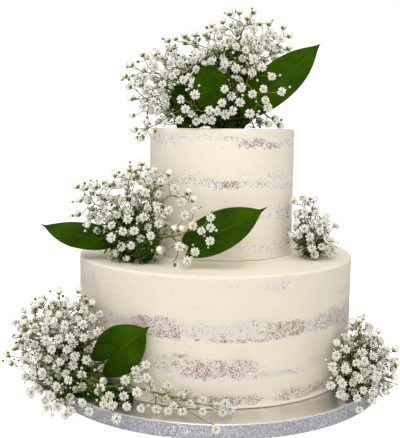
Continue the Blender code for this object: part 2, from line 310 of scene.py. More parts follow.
def cake_tier(name, centre, radius, foot, top, smears, seed, whiteness):
    """A coated round tier with its scraped side, soft rim and smeared top."""
    steps = int(math.tau * radius / SIDE_PITCH)
    side_rows = int((top - foot - RIM_FILLET) / SIDE_PITCH)
    profile = [(radius - 1.0 * MM, foot), (radius + 0.8 * MM, foot + 0.3 * MM),
               (radius + 0.9 * MM, foot + 1.0 * MM), (radius + 0.2 * MM, foot + 1.8 * MM)]
    for row in range(2, side_rows + 1):
        profile.append((radius, foot + row * (top - foot - RIM_FILLET) / side_rows))
    profile += quarter(radius - RIM_FILLET, top - RIM_FILLET, RIM_FILLET, 0, 6)[1:]
    top_rows = int((radius - RIM_FILLET) / (2.2 * MM))
    profile += [((radius - RIM_FILLET) * (1 - row / top_rows), top) for row in range(1, top_rows)]
    profile = np.array(profile)
    turn = np.arange(steps) / steps * math.tau
    radii = np.repeat(profile[:, 0], steps)
    heights = np.repeat(profile[:, 1], steps)
    turns = np.tile(turn, len(profile))
    flat = np.clip((heights - top + RIM_FILLET) / RIM_FILLET, 0, 1)
    outward = np.stack([np.sin(turns), -np.cos(turns)], 1)
    round_points = np.stack([outward[:, 0] * radii, outward[:, 1] * radii, heights], 1)

    broad = grid_noise(round_points * [1, 1, 0.6], 55 * MM, seed)
    ragged = grid_noise(round_points * [0.6, 0.6, 1.4], 9 * MM, seed + 1)
    finer = grid_noise(round_points * [0.7, 0.7, 1.5], 3.2 * MM, seed + 2)
    streaks = grid_noise(round_points * [0.35, 0.35, 2.2], 6 * MM, seed + 3)
    grit = grid_noise(round_points, 1.5 * MM, seed + 4)

    degrees = np.degrees(turns)
    edge = 0.22 * ragged + 0.24 * finer
    thin, crumb = smear_field(degrees, heights / MM, smears, edge)
    on_side = (1 - flat) * np.clip((heights - foot - 1.5 * MM) / MM, 0, 1)
    thin, crumb = thin * on_side, crumb * on_side

    relief = 0.30 * MM * broad + 0.07 * MM * streaks + 0.05 * MM * finer
    relief -= thin * HOLLOW - crumb * ROUGH * grit
    bead = np.clip(1 - (heights - foot) / (2 * MM), 0, 1)
    relief += bead * 0.55 * MM * ragged
    rim = np.exp(-(((radius - radii) / (2.5 * MM)) ** 2)) * flat
    lift = flat * (0.12 * MM * ragged + 0.10 * MM * broad) + rim * (0.20 * MM + 0.16 * MM * finer)
    unrolled = np.stack([np.hypot(*round_points[:, :2].T), turns * 9 * MM, heights], 1)
    sweep = grid_noise(unrolled, 4 * MM, seed + 5)
    lift += flat * (1 - rim) * 0.10 * MM * sweep

    radii = radii + relief * (1 - flat)
    points = np.stack([outward[:, 0] * radii + centre[0], outward[:, 1] * radii + centre[1],
                       heights + lift], 1)
    faces = ring_faces(len(profile), steps)
    under, crown = len(points), len(points) + 1
    points = np.vstack([points, [[*centre, foot], [*centre, top]]])
    last = under - steps
    faces += [(under, (i + 1) % steps, i) for i in range(steps)]
    faces += [(crown, last + i, last + (i + 1) % steps) for i in range(steps)]
    tier = solid_mesh(name, points, faces, [buttercream])
    carried = {"thin_coat": thin, "crumb": crumb, "level": flat, "whiteness": np.full(len(flat), whiteness)}
    for label, values in carried.items():
        layer = tier.data.attributes.new(label, "FLOAT", "POINT")
        layer.data.foreach_set("value", np.append(values, values[-2:]).astype(np.float32))
    return tier


# Buttercream, whipped and scraped: satin and warm white. Where the scraper bit,
# the skin is thin and greyish, and rosy brown crumbs of about 0.8 mm come through.
buttercream, tree, shader = finish_material("scraped_buttercream", IOR=1.46, Subsurface_Weight=0.08,
                                            Subsurface_Scale=2.5 * MM)
shader.inputs["Subsurface Radius"].default_value = (1.0, 0.75, 0.45)
place = add(tree, "ShaderNodeTexCoord").outputs["Object"]
thin = marked(tree, "thin_coat")
crumb = marked(tree, "crumb")
level = marked(tree, "level")

patches = mottle(tree, place, 28 * MM, 3.0)
coat = blend(tree, patches, "#e4d9c4", "#efe5d2")
whiteness = marked(tree, "whiteness")
side_coat = blend(tree, whiteness, coat, "#faf0dc")
# Painted light: the level top, rim included, is a lighter cream than the side, the light from above painted
# in.
lit_top_coat = blend(tree, level, side_coat, "#f8eedb")

ragged = mottle(tree, place, 1.8 * MM, 3.0, Roughness=0.6)
frayed = maths(tree, "MULTIPLY_ADD", ragged, 1.1, -0.55)
thinness = maths(tree, "ADD", thin, frayed)
scraped = remap(tree, thinness, 0.16, 0.80, interpolation_type="SMOOTHSTEP")
bare_skin = blend(tree, whiteness, "#e1d8cf", "#fff8f0")
skin = blend(tree, scraped, lit_top_coat, bare_skin)

grains = mottle(tree, place, 0.95 * MM, 1.5, Roughness=0.45)
clumps = mottle(tree, place, 4.5 * MM, 1.0)
clumped = maths(tree, "MULTIPLY_ADD", clumps, 0.35, -0.175)
speckled = maths(tree, "ADD", grains, clumped)
bare = maths(tree, "MULTIPLY", crumb, 0.20)
speckle = maths(tree, "ADD", speckled, bare)
crumbs_show = remap(tree, speckle, 0.66, 0.76, interpolation_type="SMOOTHSTEP")
crumb_only = maths(tree, "MULTIPLY", crumbs_show, scraped)
hue = mottle(tree, place, 2.6 * MM, 1.0)
hue_spread = remap(tree, hue, 0.35, 0.65)
crumb_tone = blend(tree, hue_spread, "#a08b7f", "#a3745f")
crumbed = blend(tree, crumb_only, skin, crumb_tone)

# Vanilla seeds and stray crumbs, up to 1 mm across and several millimetres apart.
seeds = add(tree, "ShaderNodeTexVoronoi", {"Vector": place, "Scale": 1 / (2.9 * MM)})
seed_pick = add(tree, "ShaderNodeSeparateColor", {0: seeds.outputs["Color"]})
seed_size = remap(tree, seed_pick.outputs[0], 0.55, 1.0, 0.0, 0.17)
seed_here = maths(tree, "LESS_THAN", seeds.outputs["Distance"], seed_size)
seed_tone = blend(tree, seed_pick.outputs[1], "#c9aa74", "#94704a")
seed_share = maths(tree, "MULTIPLY", seed_here, 0.8)
seeded = blend(tree, seed_share, crumbed, seed_tone)

pulled = add(tree, "ShaderNodeMapping", {"Vector": place, "Scale": (1, 1, 5)}).outputs[0]
drag = mottle(tree, pulled, 9 * MM, 4.0)
pores = mottle(tree, place, 1.3 * MM, 2.0)
drag_and_pores = maths(tree, "ADD", drag, pores)
surface = maths(tree, "MULTIPLY_ADD", crumb_only, -0.8, drag_and_pores)
bump = raised(tree, surface, 0.35, 0.5 * MM)
matt = remap(tree, scraped, 0.0, 1.0, 0.50, 0.85)
feed(tree, shader, Base_Color=seeded, Roughness=matt, Normal=bump)


def layer_heights(prefix):
    """Lowest and highest point, in millimetres, of each sponge round of a tier."""
    found = []
    for number in range(1, 5):
        low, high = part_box(f"{prefix}_sponge_{number}")
        found.append((low.z / MM, high.z / MM))
    return found


def tier_frame(prefix):
    """Centre, radius, foot and top of a tier, from its layers."""
    low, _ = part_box(f"{prefix}_sponge_1")
    _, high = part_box(f"{prefix}_cream_4")
    wide_low, wide_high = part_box(f"{prefix}_cream_2")
    centre = ((wide_low.x + wide_high.x) / 2, (wide_low.y + wide_high.y) / 2)
    return centre, (wide_high.x - wide_low.x) / 2, low.z, high.z


def tier_nodes(prefix):
    """Names of the eight layers of a tier."""
    return [f"{prefix}_{kind}_{number}" for number in range(1, 5) for kind in ("sponge", "cream")]


lower_frame = tier_frame("lower")
lower_centre, lower_radius, lower_foot, lower_top = lower_frame
lower_layers = layer_heights("lower")
one, two, three, four = [(low + high) / 2 for low, high in lower_layers]
lower_smears = [
    (-42, 11, three + 2, 6, 0.8, 0.35), (-21, 12, three + 2, 8, 1.0, 0.80),
    (-17, 7, three - 3, 4, 1.0, 0.9), (-2, 16, three - 0.5, 7, 1.0, 0.30),
    (3, 15, three - 6.6, 0.9, 1.0, 1.0), (14, 8, three + 1, 8, 1.0, 0.25),
    (27, 9.5, three - 0.5, 7.5, 1.0, 1.0), (40, 8, three - 1, 5.5, 1.0, 0.5),
    (52, 12, three + 0.5, 8.5, 1.0, 0.72),
    (66, 12, three + 1, 9, 0.95, 0.5), (82, 10, three, 6, 0.8, 0.3),
    (-30, 10, two - 1, 6, 0.7, 0.3), (-14, 11, two + 2, 7.5, 0.9, 0.40), (-1, 13, two - 0.5, 8, 1.0, 0.78),
    (10, 7, two + 2, 6, 0.95, 0.70), (-14.4, 1.7, two + 3.3, 2.2, 1.0, 1.1),
    (-11.8, 2.6, two + 9.4, 0.9, 1.0, 1.0), (-3.4, 1.1, two - 8.5, 1.4, 1.0, 1.2),
    (-1, 9, two - 6, 1.0, 1.0, 0.95), (24, 13, two - 6.5, 3.2, 0.75, 0.35), (43, 6, two - 3, 4, 0.6, 0.2),
    (-40, 12, one, 4.5, 0.8, 0.4), (5, 15, one + 1, 4.6, 0.95, 0.75), (37, 15, one + 2.2, 4.8, 0.95, 0.78),
    (70, 14, one + 1, 5, 0.9, 0.5),
    (22, 6, four + 6, 4, 0.5, 0.25), (-62, 14, four - 3, 8, 0.55, 0.12), (70, 12, four - 9, 6, 0.5, 0.2),
]
lower_smears += smears_behind(lower_layers[:3], 11)
lower_tier = cake_tier("lower_tier", *lower_frame, lower_smears, seed=2, whiteness=0.0)
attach(lower_tier, "root")
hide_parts(*tier_nodes("lower"))

upper_centre, upper_radius, upper_foot, upper_top = tier_frame("upper")
upper_layers = layer_heights("upper")
one, two, three, four = [(low + high) / 2 for low, high in upper_layers]
upper_smears = [
    (-50, 24, four + 4, 4.6, 0.80, 0.45), (-16, 17, four + 5, 3.4, 0.70, 0.30),
    (8, 11, four + 4.8, 2.4, 0.9, 0.60), (24, 12, four + 1.6, 4.6, 1.0, 0.92),
    (41, 10, four - 1.2, 3.6, 1.0, 0.85), (62, 16, four + 1.8, 3.6, 0.85, 0.5),
    (-30, 18, three + 2.6, 5.2, 0.80, 0.42), (-7, 10, three + 1, 4.8, 0.85, 0.50),
    (6, 9, three, 4.0, 1.0, 1.0),
    (26, 17, three - 0.4, 3.2, 0.9, 0.60), (60, 22, three - 2.8, 3.2, 0.75, 0.35),
    (50, 17, three + 6.6, 3.0, 0.75, 0.45), (-14, 7, two - 3, 3, 0.5, 0.1),
    (38, 17, two + 3, 6.5, 0.75, 0.30), (60, 16, two, 6.5, 0.85, 0.50), (64, 4, two, 5, 1.0, 1.05),
    (20, 15, one + 1.5, 5.0, 0.7, 0.28), (45, 20, one + 1.5, 5.2, 0.75, 0.32),
    (67, 5, one + 2, 3.5, 0.9, 0.9),
]
upper_smears += smears_behind(upper_layers, 12)
upper_tier = cake_tier("upper_tier", upper_centre, upper_radius, upper_foot - 0.3 * MM, upper_top,
                       upper_smears, seed=8, whiteness=0.6)
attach(upper_tier, "root")
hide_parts(*tier_nodes("upper"))

# ---------------------------------------------------------------- leaves
# Fresh leaves of the lemon leaf kind: thick, waxy and pointed, folded a little
# along the midrib, with arching side veins. Their stalks are pushed into the bunches.

LEAF_THICK = 0.5 * MM
LEAF_ROWS = 56
LEAF_COLUMNS = 12
TIP_FULLNESS = 2.2
TIP_SHARPNESS = 0.5
DRIP_WIDTH = 0.13


def leaf_half_width(along, widest, drip, lobes):
    """Half the blade's width at a share of its length, as a share of its widest.

    drip is the share of the length that is a narrow point beyond the round end,
    and lobes is how wide the blade already is at its stalk.
    """
    body = along / (1 - drip)
    point = DRIP_WIDTH * min(1, (1 - along) / (2 * drip)) if drip and along > 0.6 else 0.0
    if body >= 1:
        return point
    if body < widest:
        return lobes + (1 - lobes) * math.sqrt(max(0.0, 1 - (1 - body / widest) ** 2))
    beyond = (body - widest) / (1 - widest)
    sharpness = 0.0 if drip else TIP_SHARPNESS
    return max(point, max(0.0, 1 - beyond ** TIP_FULLNESS) ** (1 + sharpness * beyond ** 3))


def leaf_blade(name, base, tip, face, width, widest=0.42, arch=0.05, fold=0.15, heart=0.004, sweep=0.0,
               drip=0.0, lobes=0.0, dark=0.0, stalk_dark=0.5, seed=0):
    """A closed thin blade with a soft wave, laid from its stalk at base to its tip."""
    base, tip = Vector(base), Vector(tip)
    length = (tip - base).length
    along = (tip - base).normalized()
    out = Vector(face)
    out = (out - along * out.dot(along)).normalized()
    across = along.cross(out)
    turn = Matrix((across, along, out)).transposed()
    points, wrap, faces, marks = [], [], [], []
    span = 2 * LEAF_COLUMNS + 1
    for side in (1, -1):
        for row in range(LEAF_ROWS + 1):
            t = 0.02 + 0.98 * row / LEAF_ROWS
            half = leaf_half_width(t, widest, drip, lobes) * width / 2
            for column in range(span):
                s = (column - LEAF_COLUMNS) / LEAF_COLUMNS
                x = s * half + sweep * length * t ** 4
                lobe = math.sin(math.pi * min(1, abs(s)) ** 0.9) ** 0.8 if lobes else abs(s) ** 1.5
                back = heart * abs(lobe) * (1 - t) ** 3
                ripple = noise.noise(Vector((s * 1.2 + seed * 9, t * 3.5, seed * 5))) * 1.6 * MM * abs(s)
                vein = 0.22 * MM * math.exp(-((s * half / (0.9 * MM)) ** 2))
                quilt = 0.10 * MM * math.sin((t * 9 - abs(s) * 1.6) * math.tau) * (1 - abs(s)) * abs(s) * 3
                z = fold * abs(s * half) - arch * length * t * t + ripple + quilt * side - vein
                rim = 1 - abs(s) ** 6
                z += side * LEAF_THICK / 2 * rim * min(1, 12 * (1 - t))
                points.append(base + turn @ Vector((x, length * t - back, z)))
                wrap.append((s * 0.5 + 0.5, t))
    count = (LEAF_ROWS + 1) * span
    for row in range(LEAF_ROWS):
        for column in range(span - 1):
            a = row * span + column
            faces.append((a, a + 1, a + span + 1, a + span))
            marks.append(0)
            b = a + count
            faces.append((b, b + span, b + span + 1, b + 1))
            marks.append(1)
        for column in (0, span - 1):
            a = row * span + column
            around = (a, a + span, a + span + count, a + count)
            faces.append(around if column == 0 else around[::-1])
            marks.append(0)
    for row in (0, LEAF_ROWS):
        for column in range(span - 1):
            a = row * span + column
            around = (a, a + count, a + count + 1, a + 1)
            faces.append(around if row == 0 else around[::-1])
            marks.append(0)
    blade = solid_mesh(name, points, faces, [leaf_upper, leaf_under], marks)
    # Painted shade: dark darkens the whole blade and stalk_dark its stalk end, for the shade of the bunches
    # over it.
    shade = [dark + (stalk_dark - dark) * (1 - t) ** 2 for _, t in wrap]
    dim = blade.data.attributes.new("dim", "FLOAT", "POINT")
    dim.data.foreach_set("value", np.array(shade, np.float32))
    uv = blade.data.uv_layers.new(name="blade")
    for loop in blade.data.loops:
        uv.data[loop.index].uv = wrap[loop.vertex_index]
    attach(blade, "root")
    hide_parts(name.replace("blade", "leaf"))
    return blade


def leaf_wax(name, deep, bright, vein_colour, shine):
    """Waxy leaf: mottled green with paler veins, a clear midrib and a soft sheen, and painted shade, near
    black, where the blade is marked dim.
    """
    material, tree, shader = finish_material(name, Roughness=shine, Specular_IOR_Level=0.02)
    blade = add(tree, "ShaderNodeUVMap", uv_map="blade").outputs[0]
    place = add(tree, "ShaderNodeTexCoord").outputs["Object"]
    parts = add(tree, "ShaderNodeSeparateXYZ", {0: blade})
    off = maths(tree, "SUBTRACT", parts.outputs[0], 0.5)
    aside = maths(tree, "ABSOLUTE", off)
    # Nine pairs of side veins leave the midrib and sweep towards the tip.
    run = maths(tree, "MULTIPLY", parts.outputs[1], 9.0)
    slant = maths(tree, "MULTIPLY_ADD", aside, -5.5, run)
    beat = maths(tree, "PINGPONG", slant, 0.5)
    side_vein = remap(tree, beat, 0.0, 0.12, 0.12, 0.0)
    midrib = remap(tree, aside, 0.004, 0.020, 0.45, 0.0)
    veins = maths(tree, "MAXIMUM", side_vein, midrib)
    clouded = mottle(tree, place, 14 * MM, 3.0)
    spread = remap(tree, clouded, 0.3, 0.7)
    green = blend(tree, spread, deep, bright)
    veined = blend(tree, veins, green, vein_colour)
    cells = mottle(tree, place, 0.8 * MM, 1.0)
    height = maths(tree, "MULTIPLY_ADD", veins, -0.6, cells)
    bump = raised(tree, height, 0.25, 0.25 * MM)
    dim = marked(tree, "dim")
    # Painted shade: the green goes towards near black where the blade is marked dim.
    shaded_by_bunch = blend(tree, dim, veined, "#0c1800")
    feed(tree, shader, Base_Color=shaded_by_bunch, Normal=bump)
    return material


leaf_upper = leaf_wax("waxy_leaf_upper", "#234000", "#375804", "#4c6a12", 0.45)
leaf_under = leaf_wax("waxy_leaf_under", "#5d7a34", "#6f8b45", "#93a865", 0.60)

leaf_blade("blade_top_right", (0.019, -0.040, 0.242), (0.090, -0.034, 0.300), (0.25, -1, 0.25), 0.033,
           sweep=-0.03, seed=1)
leaf_blade("blade_top_centre", (0.002, -0.052, 0.2445), (-0.013, -0.064, 0.2805), (0.1, -1, -0.1), 0.031,
           arch=-0.05, fold=0.08, drip=0.03, widest=0.48, seed=2)
leaf_blade("blade_top_left", (-0.002, -0.041, 0.239), (-0.038, -0.047, 0.264), (-0.2, -1, -0.2), 0.026,
           fold=0.12, heart=0.002, dark=0.7, stalk_dark=0.9, seed=3)
leaf_blade("blade_shelf_left", (-0.084, -0.056, 0.133), (-0.152, -0.048, 0.1375), (0, -0.75, 0.65), 0.027,
           arch=-0.06, fold=0.12, heart=0.003, sweep=0.10, drip=0.05, seed=4)
leaf_blade("blade_shelf_right", (-0.023, -0.088, 0.133), (0.0415, -0.094, 0.1655), (0.1, -1, 0.55), 0.034,
           arch=0.04, heart=0.005, sweep=-0.04, drip=0.07, seed=5)
leaf_blade("blade_foot_left", (-0.083, -0.117, 0.048), (-0.050, -0.122, 0.0768), (-0.35, -1, 0.10), 0.038,
           widest=0.30, arch=0.04, fold=0.10, heart=0.011, drip=0.07, lobes=0.72, stalk_dark=0.85, seed=6)

# ---------------------------------------------------------------- flower bunches
# Bunches of double baby's breath. Each white blossom, about 9 mm across, sits in a
# green cup; wiry stalks fork again and again from a few stems tied deep in the bunch.

BLOSSOM_REACH = 4.4 * MM
WHORLS = [(9, 4.05, 1.95, 6), (8, 2.8, 1.6, 20), (5, 1.7, 1.2, 44)]
VARIANTS = 10
STEM_SIDES = 4
BUD_SIDES = 7
BALL_SIDES = 18
CUP_TEETH = 5
SINK_LIMIT = 12 * MM
OUTER_TRIES = 2600
INNER_TRIES = 900
OUTER_ROOM = 4.2 * MM
INNER_ROOM = 4.6 * MM
# Stalks darken towards a bunch's heart within this reach: partly their own deeper green, partly painted
# shade.
HEART_SHADE_REACH = 75 * MM
CORE_VOXEL = 1.6 * MM

# Petals: matt and thin, bright white, with a breath of green where they join.
petal_white, tree, shader = finish_material("petal_white", Roughness=0.8, Specular_IOR_Level=0.2)
reach = marked(tree, "reach")
place = add(tree, "ShaderNodeTexCoord").outputs["Object"]
spots = mottle(tree, place, 9 * MM, 1.0)
white = blend(tree, spots, "#faf4e8", "#fffbf2")
outward = remap(tree, reach, 0.12, 0.36)
tone = blend(tree, outward, "#c8c38e", white)
feed(tree, shader, Base_Color=tone)

# The eye of the blossom: a tight tuft of unopened petals and stamens, yellow-green.
eye_green, *_ = two_tone("blossom_eye", 1.2 * MM, 1.0, "#77853a", "#b4b873", Roughness=0.7)

# Buds: still shut, waxy and greenish cream.
bud_cream, *_ = two_tone("bud_cream", 5 * MM, 1.0, "#c9cc9c", "#ecebd6", Roughness=0.6,
                         Specular_IOR_Level=0.3)

# Stalks, cups and bracts: matt green, darker deep in the bunch, partly painted shade there, and paler
# towards the blossoms.
stalk_green, tree, shader = finish_material("stalk_green", Roughness=0.6, Specular_IOR_Level=0.05)
place = add(tree, "ShaderNodeTexCoord").outputs["Object"]
out_of_heart = marked(tree, "reach")
streak = mottle(tree, place, 3 * MM, 2.0)
# Darker towards the heart of the bunch: partly the stems' own deeper green, partly painted shade.
deep_green_and_shade = blend(tree, streak, "#2c4002", "#5f7616")
outer_green = blend(tree, streak, "#667020", "#98a04e")
tone = blend(tree, out_of_heart, deep_green_and_shade, outer_green)
feed(tree, shader, Base_Color=tone)

# Deep inside, stems and small leaves crowd into a mass painted near black for the shade there, with paler
# green patches for glints of lit stems.
core_shade_green, tree, shader = finish_material("stems_in_painted_shade", Roughness=0.75, Specular_IOR_Level=0.1)
place = add(tree, "ShaderNodeTexCoord").outputs["Object"]
crowd = mottle(tree, place, 2.2 * MM, 3.0)
glint = remap(tree, crowd, 0.45, 0.70)
tone = blend(tree, glint, "#0d1a02", "#4a7216")
bump = raised(tree, crowd, 0.9, 1.5 * MM)
feed(tree, shader, Base_Color=tone, Normal=bump)


def petal(length, width, tilt, turn, start):
    """A thin closed petal with a notched end; tilt is its rise from the level, in radians."""
    outline = [(0, 0), (-0.40, 0.40), (-0.5, 0.70), (-0.20, 1.0), (0, 0.90), (0.20, 1.0),
               (0.5, 0.70), (0.40, 0.40)]
    crest = 0.60 * length
    points = []
    for across, along in outline:
        cup = 0.12 * length * (along ** 2)
        points.append((across * width, start + along * length, cup))
    points.append((0, start + crest, 0.14 * MM + 0.05 * length))
    points.append((0, start + crest, -0.14 * MM + 0.05 * length))
    points = np.array(points)
    rise = np.array([[1, 0, 0], [0, math.cos(tilt), -math.sin(tilt)], [0, math.sin(tilt), math.cos(tilt)]])
    spin = np.array([[math.cos(turn), -math.sin(turn), 0], [math.sin(turn), math.cos(turn), 0], [0, 0, 1]])
    edge = len(outline)
    faces = []
    for i in range(edge):
        onward = (i + 1) % edge
        faces.append((edge, onward, i))
        faces.append((edge + 1, i, onward))
    return points @ rise.T @ spin.T, faces


def in_mm(rows):
    """Rows given in millimetres as rows in metres."""
    return [(radius * MM, height * MM) for radius, height in rows]


def plain(points, faces, reach):
    """A small shape of one material, with one reach value all over."""
    return points, faces, [0] * len(faces), np.full(len(points), reach)


def scatter(draw, reach):
    """A random vector, each part of it between -reach and reach."""
    return Vector([draw.uniform(-reach, reach) for _ in range(3)])


def stack(lumps):
    """Several lumps as one: points, faces, material numbers and reach values."""
    points, faces, marks, reaches = [], [], [], []
    count = 0
    for lump_points, lump_faces, mark, lump_reach in lumps:
        points.append(lump_points)
        faces += [tuple(i + count for i in face) for face in lump_faces]
        marks += [mark] * len(lump_faces)
        reaches.append(lump_reach)
        count += len(lump_points)
    return np.vstack(points), faces, marks, np.concatenate(reaches)


def open_blossom(draw):
    """A double blossom, wide open: three whorls of notched petals round a tuft."""
    lumps = []
    openness = draw.uniform(0.82, 1.0)
    for count, length, width, tilt in WHORLS:
        for i in range(count):
            turn = math.tau * (i + draw.uniform(-0.18, 0.18)) / count
            lean = math.radians(tilt + (1 - openness) * 60 + draw.uniform(-7, 7))
            size = length * MM * draw.uniform(0.90, 1.06)
            points, faces = petal(size, width * MM * draw.uniform(0.88, 1.08), lean, turn, 0.35 * MM)
            spread = np.linalg.norm(points, axis=1) / BLOSSOM_REACH
            lumps.append((points, faces, 0, spread))
    points, faces = lathe(in_mm([(0.85, 0.2), (0.75, 0.9), (0.35, 1.35)]), BUD_SIDES)
    lumps.append((points, faces, 1, np.zeros(len(points))))
    return stack(lumps)


def round_blossom(draw):
    """A blossom half open: a ball of upright petals with a frilled mouth."""
    girth = draw.uniform(0.92, 1.08)
    profile = [(1.0, -2.0), (2.2, -1.4), (3.0, -0.2), (3.1, 1.0), (2.6, 2.1), (1.8, 2.6), (0.9, 2.0)]
    profile = [(radius * girth * MM, level * MM) for radius, level in profile]
    points, faces = lathe(profile, BALL_SIDES, 0.13)
    frill = np.array([[draw.uniform(-0.25, 0.25) * MM for _ in range(3)] for _ in points])
    points = points + frill * (points[:, 2:] > 1.0 * MM)
    spread = np.clip(0.22 + (points[:, 2] / MM + 2.0) * 0.06, 0, 1)
    lumps = [(points, faces, 0, spread)]
    for i in range(6):
        lean = math.radians(draw.uniform(28, 55))
        blade, blade_faces = petal(2.1 * MM, 1.7 * MM, lean, math.tau * i / 6, 1.2 * MM)
        lumps.append((blade + [0, 0, 1.5 * MM], blade_faces, 0, np.full(len(blade), 0.36)))
    return stack(lumps)


def stalk_lump(route, thick, thin_end):
    """A round-ish stalk along a short route."""
    points, faces = [], []
    count = len(route)
    for i, here in enumerate(route):
        ahead = route[min(i + 1, count - 1)] - route[max(i - 1, 0)]
        side = ahead.cross(Vector((0.31, 0.17, 0.93))).normalized()
        other = ahead.normalized().cross(side)
        radius = thick + (thin_end - thick) * i / (count - 1)
        for corner in range(STEM_SIDES):
            angle = math.tau * corner / STEM_SIDES
            points.append(here + (side * math.cos(angle) + other * math.sin(angle)) * radius)
    faces += ring_faces(count, STEM_SIDES)
    faces.append(tuple(range(STEM_SIDES))[::-1])
    faces.append(tuple(range((count - 1) * STEM_SIDES, count * STEM_SIDES)))
    return np.array([tuple(p) for p in points]), faces


def bent(start, end, leaving, arriving, steps):
    """A smooth route that leaves one way and arrives another."""
    reach = (end - start).length * 0.38
    first, second = start + leaving.normalized() * reach, end - arriving.normalized() * reach
    route = []
    for i in range(steps + 1):
        t = i / steps
        route.append(start * (1 - t) ** 3 + first * 3 * t * (1 - t) ** 2 + second * 3 * t * t * (1 - t)
                     + end * t ** 3)
    return route


def set_down(shape, where, facing, turn, scale):
    """A shape turned to face a direction and moved to its place."""
    points, faces, marks, reaches = shape
    upright = Vector((0, 0, 1)).rotation_difference(Vector(facing)).to_matrix()
    matrix = np.array(upright @ Matrix.Rotation(turn, 3, "Z")) * scale
    return points @ matrix.T + np.array(tuple(where)), faces, marks, reaches


def many(name, shapes, materials):
    """One piece of many small shapes that are already in their places."""
    sizes = [len(shape[0]) for shape in shapes]
    starts = np.cumsum([0] + sizes[:-1])
    points = np.vstack([shape[0] for shape in shapes])
    faces = []
    marks = []
    for shape, start in zip(shapes, starts):
        faces += [tuple(i + start for i in face) for face in shape[1]]
        marks += shape[2]
    piece = solid_mesh(name, points, faces, materials, marks)
    layer = piece.data.attributes.new("reach", "FLOAT", "POINT")
    layer.data.foreach_set("value", np.concatenate([shape[3] for shape in shapes]).astype(np.float32))
    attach(piece, "root")
    return piece


shape_draw = random.Random(5)
open_blossoms = [open_blossom(shape_draw) for _ in range(VARIANTS)]
round_blossoms = [round_blossom(shape_draw) for _ in range(VARIANTS // 2)]
cup_rows = in_mm([(0.35, -2.6), (1.0, -1.7), (1.3, -0.5), (1.4, 0.3)])
open_cup = plain(*lathe(cup_rows, 2 * CUP_TEETH, 0.15), 0.5)
cup_rows = in_mm([(0.35, -3.2), (0.8, -2.6), (1.35, -2.15), (2.35, -1.45)])
cup_points, cup_faces = lathe(cup_rows, 2 * CUP_TEETH)
teeth = np.arange(len(cup_points)) >= 1 + 3 * 2 * CUP_TEETH
notches = teeth & (np.arange(len(cup_points)) % 2 == 0)
cup_points[notches] *= [0.45, 0.45, 1.5]
cup_points[-1, 2] = -1.9 * MM
round_cup = plain(cup_points, cup_faces, 0.30)
bud_rows = in_mm([(0.3, -1.4), (1.1, -0.8), (1.35, 0.1), (1.15, 1.1), (0.5, 1.8)])
bud_points, bud_faces = lathe(bud_rows, BUD_SIDES)
bud_marks = [1 if max(bud_points[list(face), 2]) <= 0.11 * MM else 0 for face in bud_faces]
round_bud = (bud_points, bud_faces, bud_marks, np.clip((bud_points[:, 2] + 1.0 * MM) / (2 * MM), 0.25, 1))
bract = plain(*petal(7.5 * MM, 1.25 * MM, 0.5, 0, 0), 0.12)

leaf_trees = []
for leaf_node in [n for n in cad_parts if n.startswith("leaf_")]:
    blade_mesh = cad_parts[leaf_node].data
    leaf_trees.append(BVHTree.FromPolygons([v.co for v in blade_mesh.vertices],
                                           [tuple(p.vertices) for p in blade_mesh.polygons]))


def room_at(point, need):
    """True where a blossom of that reach fits: clear of tiers, drum, table and leaves."""
    for centre, radius, foot, top in ((lower_centre, lower_radius, lower_foot, lower_top),
                                      (upper_centre, upper_radius, upper_foot, upper_top)):
        beyond = math.hypot(point.x - centre[0], point.y - centre[1]) - radius
        above = point.z - top
        if beyond < need and above < need and (beyond < 0 or above < 0 or math.hypot(beyond, above) < need):
            return False
    floor = drum_top if math.hypot(point.x, point.y) < band_radius + need else 0.0
    if point.z < floor + need:
        return False
    for tree_of_leaf in leaf_trees:
        if tree_of_leaf.find_nearest(point, need * 0.75)[0] is not None:
            return False
    return True


def resting_height(point, gap):
    """The point's height, raised to lie on the table, drum or tier just under it."""
    height = max(point.z, gap)
    for centre, radius, top in (((0, 0), band_radius, drum_top), (lower_centre, lower_radius, lower_top),
                                (upper_centre, upper_radius, upper_top)):
        within = math.hypot(point.x - centre[0], point.y - centre[1]) < radius + 1 * MM
        if within and top - SINK_LIMIT < height < top + gap:
            height = top + gap
    return height


def surface_points(node, count, draw):
    """Random points, with outward normals, spread evenly over a CAD bunch's outline."""
    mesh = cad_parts[node].data
    mesh.calc_loop_triangles()
    corners = [[mesh.vertices[i].co for i in triangle.vertices] for triangle in mesh.loop_triangles]
    areas = [(b - a).cross(c - a).length / 2 for a, b, c in corners]
    found = []
    for a, b, c in draw.choices(corners, areas, k=count):
        u, v = draw.random(), draw.random()
        if u + v > 1:
            u, v = 1 - u, 1 - v
        normal = (b - a).cross(c - a)
        if normal.length > 0:
            found.append((a + (b - a) * u + (c - a) * v, normal.normalized()))
    return found


def parted(heads, draw):
    """Splits blossoms into two groups, round one picked at random and the one farthest from it."""
    first = draw.choice(heads)
    second = max(heads, key=lambda head: (head[0] - first[0]).length)
    near = [head for head in heads if (head[0] - first[0]).length <= (head[0] - second[0]).length]
    return near, [head for head in heads if head not in near]


